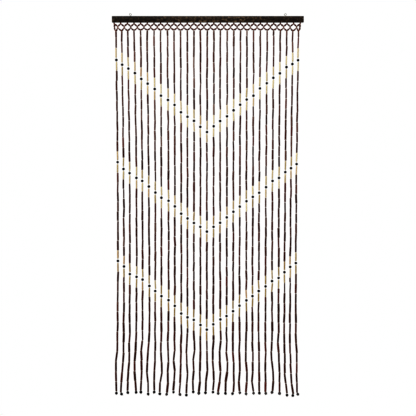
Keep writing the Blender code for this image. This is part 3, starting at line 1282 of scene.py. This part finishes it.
@dataclass
class Heading:
    """The row of diamonds that the cords cross in, under the rail."""

    rail: Rail
    apex_drop: float = 0.0350
    cross_drop: float = 0.0505
    fork_drop: float = 0.0642
    end_sag: tuple[float, ...] = (0.0060, 0.0038, 0.0026, 0.0010)
    end_pull: tuple[float, ...] = (0.0085, 0.0040, 0.0018)
    cross_share: float = 0.16
    cord_seat: float = 0.9
    tube_radius: float = 0.0038
    tube_length: float = 0.0078
    tube_fill: float = 0.98
    tube_spread: Spread = Spread((0.92, 1.1), (-0.1, 0.35), (0.0, 0.25))
    bead_radius: float = 0.0032
    bead_spread: Spread = Spread((0.93, 1.08), (0.0, 0.9), (0.3, 1.0))
    hub_spread: Spread = Spread((0.95, 1.06), (0.1, 0.9), (0.2, 1.0))
    stub_radius: float = 0.0034
    stub_warmth: float = 0.5
    cross_radius: float = 0.0037
    cross_half: float = 0.0040
    cross_spread: float = 0.0012
    cross_warmth: float = 0.4
    fork_radius: float = 0.0033
    fork_warmth: float = 0.6
    arm: tuple[Link, ...] = (Link.BEAD, Link.BEAD, Link.TUBE, Link.BEAD)
    arm_ends: Range = (0.0008, 0.0008)
    arm_warmth: float = 0.5
    rise: Range = (-0.0006, 0.0012)
    sag: Range = (0.0006, 0.0026)
    edge: tuple[Link, ...] = (Link.BEAD, Link.TUBE, Link.BEAD, Link.TUBE, Link.BEAD)
    edge_ends: Range = (0.0024, 0.0036)
    edge_warmth: float = 0.9
    edge_bow: float = 0.0032
    edge_bend: float = 2.2
    tubes: Threaded = field(default_factory=lambda: Threaded(
        "heading_tubes", TubeShape("heading_tube", variants=4, sides=10, bore=0.4), NET_TUBE_WOOD))
    beads: Threaded = field(default_factory=lambda: Threaded(
        "heading_beads", RoundShape("heading_bead", sides=10, bands=6, bore=0.34, fullness=0.6),
        NET_WOOD))
    draw: random.Random = field(default_factory=lambda: random.Random(SEED))

    def at(self, x: float, drop: float) -> Vector:
        """Return the point of the curtain's plane at a depth under the rail's top."""
        return Vector((x, 0.0, self.rail.top - drop))

    def near(self, index: int) -> int:
        """Return how many strands stand between this one and the nearer end."""
        return min(index, self.rail.strands - 1 - index)

    def inward(self, index: int) -> float:
        """Return 1 on the left half and -1 on the right half."""
        return 1.0 if index < self.rail.strands / 2 else -1.0

    def pull(self, index: int) -> float:
        """Return how far the diamonds draw the head of a strand to the right."""
        near = self.near(index)
        return self.inward(index) * self.end_pull[near] if near < len(self.end_pull) else 0.0

    def cross(self, index: int, side: float = 0.0, rise: float = 0.0) -> Vector:
        """Return a place at the bead where the cords of a hole and the next one cross.

        Args:
            index: The hole on its left.
            side: -1 for its left edge, 1 for its right one.
            rise: 1 for its top, -1 for its foot.

        Returns:
            The place. Without side and rise it is the bead's middle.
        """
        middle = (self.rail.hole_x(index) + self.rail.hole_x(index + 1)) / 2.0
        middle += (self.pull(index) + self.pull(index + 1)) * self.cross_share
        return self.at(middle + side * self.cross_spread, self.cross_drop - rise * self.cross_half)

    def apex(self, index: int) -> Vector:
        """Return the diamond's top under a hole."""
        return self.at(self.rail.hole_x(index), self.apex_drop)

    def fork(self, index: int) -> Vector:
        """Find the diamond's foot, which a strand hangs from.

        Args:
            index: The strand.

        Returns:
            The place, lower and further in near the curtain's ends.
        """
        near = self.near(index)
        sag = self.end_sag[near] if near < len(self.end_sag) else 0.0
        return self.at(self.rail.hole_x(index) + self.pull(index), self.fork_drop + sag)

    def thread(self, piece: Threaded, spread: Spread, one: Strung) -> None:
        """Add a tube or bead, its thickness, tone and warmth drawn round the given ones.

        Args:
            piece: What it is added to.
            spread: The ranges of its kind.
            one: The tube or bead with its usual thickness and warmth.
        """
        piece.strung.append(one._replace(
            radius=one.radius * self.draw.uniform(*spread.girth),
            tone=self.draw.uniform(*spread.tone),
            warmth=one.warmth * self.draw.uniform(*spread.warmth)))

    def string(self, start: Vector, stop: Vector, dip: Vector, links: Sequence[Link],
               ends: Range, warmth: float, bend: float = 1.0) -> list[Vector]:
        """String one side of a diamond.

        Args:
            start: Where the cord leaves one knot.
            stop: Where it reaches the next.
            dip: How far its middle lies off the straight line.
            links: What it is strung with, from start to stop.
            ends: What the beads at start and stop take of its length.
            warmth: How red the small beads are.
            bend: Above 1 the dip is deepest near stop.

        Returns:
            The cord's points.
        """
        length = (stop - start).length

        def along(distance: float) -> Vector:
            """Return the point at a distance from the start."""
            late = (distance / length) ** bend
            return start.lerp(stop, distance / length) + dip * (4.0 * late * (1.0 - late))

        spare = length - sum(ends) - links.count(Link.TUBE) * self.tube_length
        bead_length = spare / links.count(Link.BEAD)
        at = ends[0]
        for link in links:
            size = self.tube_length if link is Link.TUBE else bead_length
            top, foot = along(at), along(at + size)
            at += size
            if link is Link.TUBE:
                tube = Strung.held(top, foot, self.tube_radius, warmth=1.0)
                self.thread(self.tubes, self.tube_spread,
                            tube._replace(half=tube.half * self.tube_fill))
            else:
                self.thread(self.beads, self.bead_spread,
                            Strung.held(top, foot, self.bead_radius, warmth=warmth))
        return [start, *(along(length * part) for part in (0.25, 0.5, 0.75)), stop]

    def hub(self, centre: Vector, axis: Vector, radius: float, half: float, warmth: float) -> None:
        """Add the bead at a meeting of cords."""
        self.thread(self.beads, self.hub_spread, Strung(centre, axis, radius, half, warmth=warmth))

    def build(self, tree: Tree, cords: Cords) -> None:
        """String the whole row and hand it in.

        Args:
            tree: The threading tree.
            cords: Where the cords are added.
        """
        side, down = Vector((1.0, 0.0, 0.0)), Vector((0.0, 0.0, -1.0))
        last = self.rail.strands - 1
        rises = [self.draw.uniform(*self.rise) for _ in range(self.rail.strands)]
        sags = [self.draw.uniform(*self.sag) for _ in range(self.rail.strands)]
        for index in range(self.rail.strands):
            apex, fork = self.apex(index), self.fork(index)
            hole = self.at(apex.x, self.rail.top - self.rail.foot)
            self.hub((hole + apex) / 2.0, down, self.stub_radius, (hole - apex).length / 2.0,
                     self.stub_warmth)
            cords.runs.append([hole - down * self.rail.hole_depth * self.cord_seat, hole, apex])
            self.hub(fork, side, self.fork_radius, self.fork_radius, self.fork_warmth)
            if index < last:
                self.hub(self.cross(index), down, self.cross_radius, self.cross_half,
                         self.cross_warmth)
                cords.runs.append([self.cross(index, rise=1.0), self.cross(index, rise=-1.0)])
        for index in range(last):
            for left, near in ((-1.0, index), (1.0, index + 1)):
                top, foot = self.cross(index, left, 1.0), self.cross(index, left, -1.0)
                for start, stop, dip in ((self.apex(near), top, -rises[near]),
                                         (foot, self.fork(near), sags[near])):
                    cords.runs.append(self.string(
                        start, stop, down * dip, self.arm, self.arm_ends, self.arm_warmth))
        for index in (0, last):
            bow = side * -self.inward(index) * self.edge_bow
            cords.runs.append(self.string(
                self.apex(index), self.fork(index), bow, self.edge, self.edge_ends,
                self.edge_warmth, self.edge_bend))
        self.tubes.build(tree)
        self.beads.build(tree)


# Strands

class Wood(Enum):
    """The two woods of the long tubes."""

    DARK = "dark"
    PALE = "pale"


class Hang(NamedTuple):
    """How one strand hangs, in millimetres.

    first, second, third and hem tell how much lower than the rule its black beads lie.
    belly tells how much further right than the rule it hangs midway. j6 to j0 and bead tell
    how far to the right of its hole it hangs, at the sixth joint above its last tube's foot,
    at each joint below, at that foot and at its end bead.
    """

    first: int
    second: int
    third: int
    hem: int
    belly: int
    j6: int
    j5: int
    j4: int
    j3: int
    j2: int
    j1: int
    j0: int
    bead: int


# One row for each strand, from the left
HANGS = (
    Hang(5, -1, -5, -1, 1, 16, 16, 15, 10, 9, 11, 10, 11),
    Hang(3, 8, -2, 3, 0, 14, 13, 13, 11, 7, 3, 1, 4),
    Hang(-3, 4, 11, -4, 0, 11, 9, 9, 8, 4, 2, 0, 2),
    Hang(-6, 3, 1, -5, 2, 10, 9, 7, 3, 3, 6, 9, 10),
    Hang(-3, -6, -9, -6, -1, 9, 9, 3, 4, 5, 3, 0, 1),
    Hang(-5, -3, -2, 3, -3, 11, 7, 4, -1, -3, 4, 4, 4),
    Hang(-4, 2, -1, -6, 1, 5, 6, 5, 4, 2, 1, 1, 1),
    Hang(3, 3, 0, 2, 0, 3, 2, 1, 5, 6, -3, -4, -4),
    Hang(-1, -6, -4, 4, 1, 5, 3, 4, 6, 2, 4, -2, -3),
    Hang(-2, -3, 0, -6, 1, 3, 3, 3, -2, 4, 2, -2, -2),
    Hang(8, 8, 13, 5, 0, 3, 2, 2, 1, -1, -2, -5, -3),
    Hang(5, 7, 8, 8, 0, 1, -1, -3, -1, 1, -2, -4, -4),
    Hang(0, 5, -3, -7, 1, -1, 2, 3, -3, -1, -5, -4, -3),
    Hang(4, 0, -2, -1, -1, 0, -2, 0, -2, -3, -3, -8, -8),
    Hang(4, -1, -3, -3, 0, -2, -2, -2, -1, 0, -6, -7, -8),
    Hang(1, 0, -5, -6, 1, -3, -1, -4, -5, -2, -1, -4, -4),
    Hang(1, 4, -5, 0, -2, 0, 1, -4, -4, -1, -3, -10, -11),
    Hang(3, 2, 2, 0, 1, -3, -2, -5, 1, 0, -7, -7, -8),
    Hang(-1, -1, 2, 1, 1, -4, -5, -4, -1, -1, 1, -2, -6),
    Hang(-3, -2, -1, -3, 1, -5, -4, -6, -4, -3, -7, -4, -3),
    Hang(-3, -4, -3, 2, -1, -3, -5, -6, -6, -1, -2, -5, -5),
    Hang(3, -1, 0, -1, 1, -7, -6, -4, -5, -6, -8, -2, -1),
    Hang(-7, 3, -1, -1, 1, -9, -9, -7, -6, -7, -6, -5, -5),
    Hang(-7, 0, 0, 0, 1, -8, -8, -7, -8, -8, -7, -7, -6),
    Hang(-8, -6, -2, -5, 0, -8, -9, -11, -9, -3, -3, -6, -8),
    Hang(-5, 3, 6, 0, -1, -8, -11, -7, -7, -4, -4, -4, -4),
    Hang(-10, -1, 2, 8, 2, -14, -12, -11, -11, -11, -5, 0, 0),
    Hang(0, 4, 0, 10, 1, -18, -17, -16, -14, -13, -9, -2, -4),
    Hang(6, 8, 5, 4, -1, -21, -21, -17, -17, -17, -16, -16, -12),
)


@dataclass(frozen=True)
class StrandSizes:
    """Sizes that all the strands share.

    A bead rule is the depth of an end strand's bead, and its step for each strand inwards.
    """

    tube_top: float = 0.0685
    head_space: float = 0.0022
    bead_radius: float = 0.0064
    bead_girth: float = 0.02
    bead_space: float = 0.0034
    bead_tones: Range = (0.0, 0.1)
    bead_rules: tuple[Range, ...] = ((0.2000, 0.02425), (0.6860, 0.02330), (1.1540, 0.02290))
    end_bead: float = 1.7710
    end_radius: float = 0.0067
    end_girth: float = 0.03
    end_space: float = 0.0005
    end_tones: tuple[float, ...] = (0.0, 0.0, 0.0, 0.5)
    end_tilt: float = 0.004
    knot_radius: float = 0.0015
    knot_sink: float = 0.3
    pinch: float = 0.0030
    dark_top: float = 1.5
    dark_between: int = 8
    dark_foot: float = 12.0
    dark_step: float = 0.5
    pale_share: float = 0.87
    joint_gap: float = 0.0021
    joint_gap_foot: float = 0.0006
    widest_gap: float = 0.0016
    drift: float = 0.0008
    slack: float = 0.0008


@dataclass(frozen=True)
class TubeLook:
    """How the tubes of one wood differ from each other and down the curtain. Their tone is painted
    lighter at the top and darker at the foot: painted light from above and painted shade below.
    """

    radius: float
    girth: float
    growth: float
    lit_top_tone: float
    shaded_foot_tone: float
    tone_bend: float
    tone_spread: float
    warmth: Range


@dataclass
class Strand:
    """One strand: where its joints and beads lie, and what hangs there."""

    index: int
    heading: Heading
    sizes: StrandSizes
    draw: random.Random = field(init=False)

    def __post_init__(self) -> None:
        """Work out the strand's depths from the rules and its row."""
        sizes, row = self.sizes, HANGS[self.index]
        self.row = row
        self.near = self.heading.near(self.index)
        self.draw = random.Random(SEED * 1000 + self.index)
        self.beads = [start + step * self.near + shift * MM for (start, step), shift
                      in zip(sizes.bead_rules, (row.first, row.second, row.third))]
        self.end_bead = sizes.end_bead + row.hem * MM
        self.foot = self.end_bead - sizes.bead_radius - sizes.end_space
        self.knees = (row.j6, row.j5, row.j4, row.j3, row.j2, row.j1, row.j0)
        below = self.beads[-1] + sizes.bead_radius + sizes.bead_space
        tubes_below = sizes.dark_foot - sizes.dark_step * self.near + sizes.pale_share
        self.pitch_below = (self.foot - below) / tubes_below
        self.knee = self.foot - (len(self.knees) - 1) * self.pitch_below
        fork = self.heading.rail.top - self.heading.fork(self.index).z
        self.head = max(sizes.tube_top, fork + sizes.head_space)

    def offset(self, depth: float) -> float:
        """Return how far right of its hole the strand hangs.

        Args:
            depth: The depth under the rail's top.

        Returns:
            The row's places from the knee down. Above it, a smooth lean from the heading to
            the knee, with the row's belly and a slight pinch on the left half.
        """
        row, sizes, rail = self.row, self.sizes, self.heading.rail
        if depth >= self.foot:
            part = (depth - self.foot) / (self.end_bead - self.foot)
            return (row.j0 + (row.bead - row.j0) * min(part, 1.0)) * MM
        if depth >= self.knee:
            joints = (depth - self.knee) / self.pitch_below
            joint = min(int(joints), len(self.knees) - 2)
            upper, lower = self.knees[joint:joint + 2]
            return (upper + (lower - upper) * (joints - joint)) * MM
        part = (depth - sizes.tube_top) / (self.knee - sizes.tube_top)
        head = self.heading.pull(self.index)
        lean = (row.j6 * MM - head) * math.sin(part * math.pi / 2.0)
        bulge = max(0.0, math.sin(part * math.pi))
        pinch = sizes.pinch * min(0.0, rail.hole_x(self.index) / rail.high.x)
        return head + lean - pinch * bulge + row.belly * MM * math.sqrt(bulge)

    def at(self, depth: float, most: float = 0.0) -> Vector:
        """Return the strand's point at a depth, astray by a little where most is given."""
        point = self.heading.at(self.heading.rail.hole_x(self.index) + self.offset(depth), depth)
        return point + self.stray(most) if most else point

    def stray(self, most: float) -> Vector:
        """Draw a small step to the side or the front."""
        return Vector((self.draw.uniform(-most, most), self.draw.uniform(-most, most), 0.0))

    def row_of_tubes(self, number: int) -> list[tuple[Wood, float]]:
        """Return the wood and share of a full length of each tube in a run, from its top.

        Args:
            number: The run, 0 above the first black bead and 3 under the last.

        Returns:
            The tubes. A half tube fills up where the chevrons need it.
        """
        sizes = self.sizes
        pale, dark = (Wood.PALE, sizes.pale_share), (Wood.DARK, 1.0)
        if number in (1, 2):
            return [pale, *[dark] * sizes.dark_between, pale]
        step = sizes.dark_step * self.near
        count = sizes.dark_top + step if number == 0 else sizes.dark_foot - step
        tubes = [(Wood.DARK, 0.5)] * int(2.0 * count % 2.0) + [dark] * int(count)
        return [*tubes, pale] if number == 0 else [pale, *tubes]

    def runs(self) -> Iterator[tuple[float, float, list[tuple[Wood, float]]]]:
        """Yield the top, foot and tubes of each run, from the rail down."""
        space = self.sizes.bead_radius + self.sizes.bead_space
        tops = [self.head] + [bead + space for bead in self.beads]
        feet = [bead - space for bead in self.beads] + [self.foot]
        for number, (top, foot) in enumerate(zip(tops, feet)):
            yield top, foot, self.row_of_tubes(number)


@dataclass
class Curtain:
    """The twenty-nine strands."""

    heading: Heading
    sizes: StrandSizes = StrandSizes()
    woods: dict[Wood, Threaded] = field(default_factory=lambda: {
        Wood.DARK: Threaded("dark_tubes", TubeShape("dark_tube"), DARK_WOOD),
        Wood.PALE: Threaded("pale_tubes", TubeShape("pale_tube", swell=0.05), PALE_WOOD)})
    # The top tone is painted light on the upper tubes and the foot tone is painted shade on the
    # lower ones; the tone spread is each tube's own.
    looks: dict[Wood, TubeLook] = field(default_factory=lambda: {
        Wood.DARK: TubeLook(radius=0.0037, girth=0.085, growth=0.25, lit_top_tone=0.50,
                            shaded_foot_tone=-0.45, tone_bend=1.0, tone_spread=0.26, warmth=(0.05, 0.17)),
        Wood.PALE: TubeLook(radius=0.0034, girth=0.05, growth=0.0, lit_top_tone=0.95,
                            shaded_foot_tone=-0.77, tone_bend=2.0, tone_spread=0.20, warmth=(0.05, 0.27))})
    black: Threaded = field(default_factory=lambda: Threaded(
        "black_beads", RoundShape("black_bead"), Lacquer()))
    ends: Threaded = field(default_factory=lambda: Threaded(
        "end_beads", RoundShape("end_bead", flattened=0.08), Lacquer(name="end_lacquer")))
    knots: Threaded = field(default_factory=lambda: Threaded(
        "end_knots", KnotShape("end_knot"), KNOT_CORD, sharp_from=80.0))

    def tube(self, strand: Strand, wood: Wood, top: Vector, foot: Vector, depth: float) -> None:
        """Add one tube between two joints, slack on its cord.

        Args:
            strand: The strand that it hangs on.
            wood: Its wood.
            top: The joint above it.
            foot: The joint below it.
            depth: The depth of that joint.
        """
        sizes, draw, look = self.sizes, strand.draw, self.looks[wood]
        part = min(1.0, depth / sizes.end_bead)
        mean_gap = sizes.joint_gap + (sizes.joint_gap_foot - sizes.joint_gap) * part
        gap = min(sizes.widest_gap, draw.expovariate(1.0 / mean_gap))
        upper = top + strand.stray(sizes.slack)
        lower = foot + (top - foot).normalized() * gap + strand.stray(sizes.slack)
        radius = look.radius * (1.0 + look.growth * part ** 2) * draw.gauss(1.0, look.girth)
        # Painted light and shade: the tone falls with depth, lighter near the rail and darker near
        # the hem.
        tone = look.lit_top_tone + (look.shaded_foot_tone - look.lit_top_tone) * part ** look.tone_bend
        tone += draw.gauss(0.0, look.tone_spread)
        warmth = max(0.0, draw.gauss(*look.warmth))
        self.woods[wood].strung.append(Strung.held(upper, lower, radius, tone, warmth))

    def hang(self, strand: Strand) -> list[Vector]:
        """Fill one strand from its fork to its knot.

        Args:
            strand: The strand.

        Returns:
            Its cord's points.
        """
        sizes, draw = self.sizes, strand.draw
        cord = [self.heading.fork(strand.index)]
        for number, (top, foot, tubes) in enumerate(strand.runs()):
            pitch = (foot - top) / sum(share for _, share in tubes)
            depth, upper = top, strand.at(top, sizes.drift)
            cord.append(upper)
            for wood, share in tubes:
                depth += pitch * share
                lower = strand.at(depth, sizes.drift)
                self.tube(strand, wood, upper, lower, depth)
                cord.append(lower)
                upper = lower
            if number < len(strand.beads):
                centre = strand.at(strand.beads[number], sizes.drift / 2.0)
                radius = sizes.bead_radius * draw.gauss(1.0, sizes.bead_girth)
                self.black.strung.append(Strung(centre, (upper - centre).normalized(), radius,
                                                radius, draw.uniform(*sizes.bead_tones)))
                cord.append(centre)
        centre = strand.at(strand.end_bead)
        axis = (upper - centre + strand.stray(sizes.end_tilt)).normalized()
        radius = sizes.end_radius * draw.gauss(1.0, sizes.end_girth)
        self.ends.strung.append(Strung(centre, axis, radius, radius, draw.choice(sizes.end_tones)))
        knot = centre - axis * (radius + sizes.knot_radius * sizes.knot_sink)
        self.knots.strung.append(Strung(knot, axis, sizes.knot_radius, sizes.knot_radius))
        return [*cord, centre, knot]

    def build(self, tree: Tree, cords: Cords) -> None:
        """Hang every strand and hand their pieces in.

        Args:
            tree: The threading tree.
            cords: Where the cords are added.
        """
        for index in range(self.heading.rail.strands):
            cords.runs.append(self.hang(Strand(index, self.heading, self.sizes)))
        for piece in (*self.woods.values(), self.black, self.ends, self.knots):
            piece.build(tree)


# Room

@dataclass(frozen=True)
class Room:
    """The plain white room, its soft light and the camera."""

    floor_z: float = -3.9
    floor_size: float = 12.0
    floor_colour: Colour = (0.93, 0.93, 0.93)
    floor_roughness: float = 0.9
    white: Colour = (1.0, 1.0, 1.0)
    fill: float = 0.32
    sun: float = 3.8
    sun_softness: float = 40.0
    sun_height: float = 40.0
    sun_side: float = -18.0
    tone_curve: float = 0.62
    lens: float = 85.0
    sensor: float = 36.0
    view_height: float = 1.954
    view_centre: Range = (0.00085, -0.9087)

    def lay_floor(self) -> None:
        """Lay a wide pale floor under the curtain."""
        bm = bmesh.new()
        bmesh.ops.create_grid(bm, x_segments=1, y_segments=1, size=self.floor_size / 2.0,
                              matrix=Matrix.Translation((0.0, 0.0, self.floor_z)))
        mesh = bpy.data.meshes.new("pale_floor")
        bm.to_mesh(mesh)
        bm.free()
        floor = linked("pale_floor", mesh)
        paint = Paint("pale_floor", {
            "Base Color": self.floor_colour, "Roughness": self.floor_roughness,
            "Specular IOR Level": 0.0})
        mesh.materials.append(paint.material)

    def light(self) -> None:
        """Light the room: white all round, and one broad soft light from the front."""
        world = bpy.data.worlds.new("white_room")
        bpy.context.scene.world = world
        world.use_nodes = True
        bench = Bench(world.node_tree)
        bench.tree.nodes.clear()
        seen, felt = (
            bench.node("ShaderNodeBackground", sockets={"Color": self.white, "Strength": strength})
            for strength in (1.0, self.fill))
        path = bench.node("ShaderNodeLightPath")
        room = bench.node("ShaderNodeMixShader", sockets={
            0: bench.result(path, "Is Camera Ray"), 1: felt.outputs[0], 2: seen.outputs[0]})
        bench.node("ShaderNodeOutputWorld", sockets={"Surface": room.outputs[0]})
        sun = bpy.data.lights.new("soft_sun", "SUN")
        sun.energy = self.sun
        sun.angle = math.radians(self.sun_softness)
        lamp = bpy.data.objects.new("soft_sun", sun)
        bpy.context.scene.collection.objects.link(lamp)
        lamp.rotation_euler = (
            math.radians(90.0 - self.sun_height), 0.0, math.radians(self.sun_side))
        view = bpy.context.scene.view_settings
        view.view_transform = "Standard"
        view.gamma = self.tone_curve

    def stand_camera(self) -> None:
        """Stand the camera level and square in front of the curtain."""
        camera = bpy.data.cameras.new("camera")
        camera.lens = self.lens
        camera.sensor_width = self.sensor
        obj = bpy.data.objects.new("camera", camera)
        bpy.context.scene.collection.objects.link(obj)
        x, z = self.view_centre
        obj.location = (x, -self.view_height * self.lens / self.sensor, z)
        obj.rotation_euler = (math.radians(90.0), 0.0, 0.0)
        bpy.context.scene.camera = obj


def main() -> None:
    """Build the room, then the curtain from the rail down."""
    logging.basicConfig(level=logging.INFO, format="%(message)s")
    room = Room()
    room.stand_camera()
    room.lay_floor()
    room.light()
    rail = Rail()
    eyes = [ScrewEye("screw_eye_left", "eye_left", rail.top),
            ScrewEye("screw_eye_right", "eye_right", rail.top)]
    for eye in eyes:
        eye.build()
    rail.build(eyes)
    tree, cords = threading_tree(), Cords()
    heading = Heading(rail)
    heading.build(tree, cords)
    Curtain(heading).build(tree, cords)
    cords.build()


if __name__ == "__main__":
    main()
